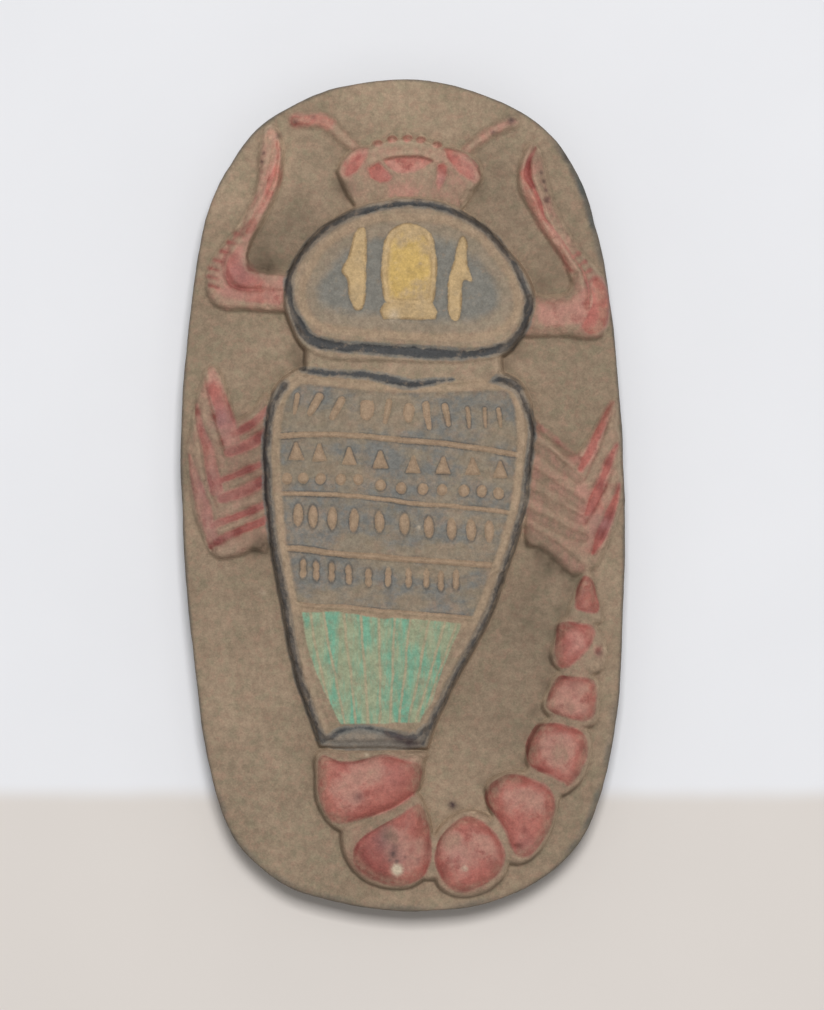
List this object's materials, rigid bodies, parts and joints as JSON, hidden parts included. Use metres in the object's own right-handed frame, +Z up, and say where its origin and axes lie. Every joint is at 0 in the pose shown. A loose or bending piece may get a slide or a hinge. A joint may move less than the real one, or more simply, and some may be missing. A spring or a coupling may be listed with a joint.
{
  "type": "carved stone scorpion plaque",
  "caption": "Oval stone plaque with a flat back, carved in relief with a scorpion seen from above, its tail curled up one side, and painted in worn red, blue-grey, green and yellow.",
  "frame": {"origin": "the middle of the flat underside, directly under the middle of the plaque's box", "axes": "+Z is up, out of the carved face; +Y runs along the plaque towards the scorpion's head; +X runs across it, towards the side that carries the stinger"},
  "size_m": [0.1174, 0.22, 0.0352],
  "materials": {
    "stone": "matte"
  },
  "bodies": {
    "root": {"scorpion_amulet": "stone"}
  },
  "joints": []
}
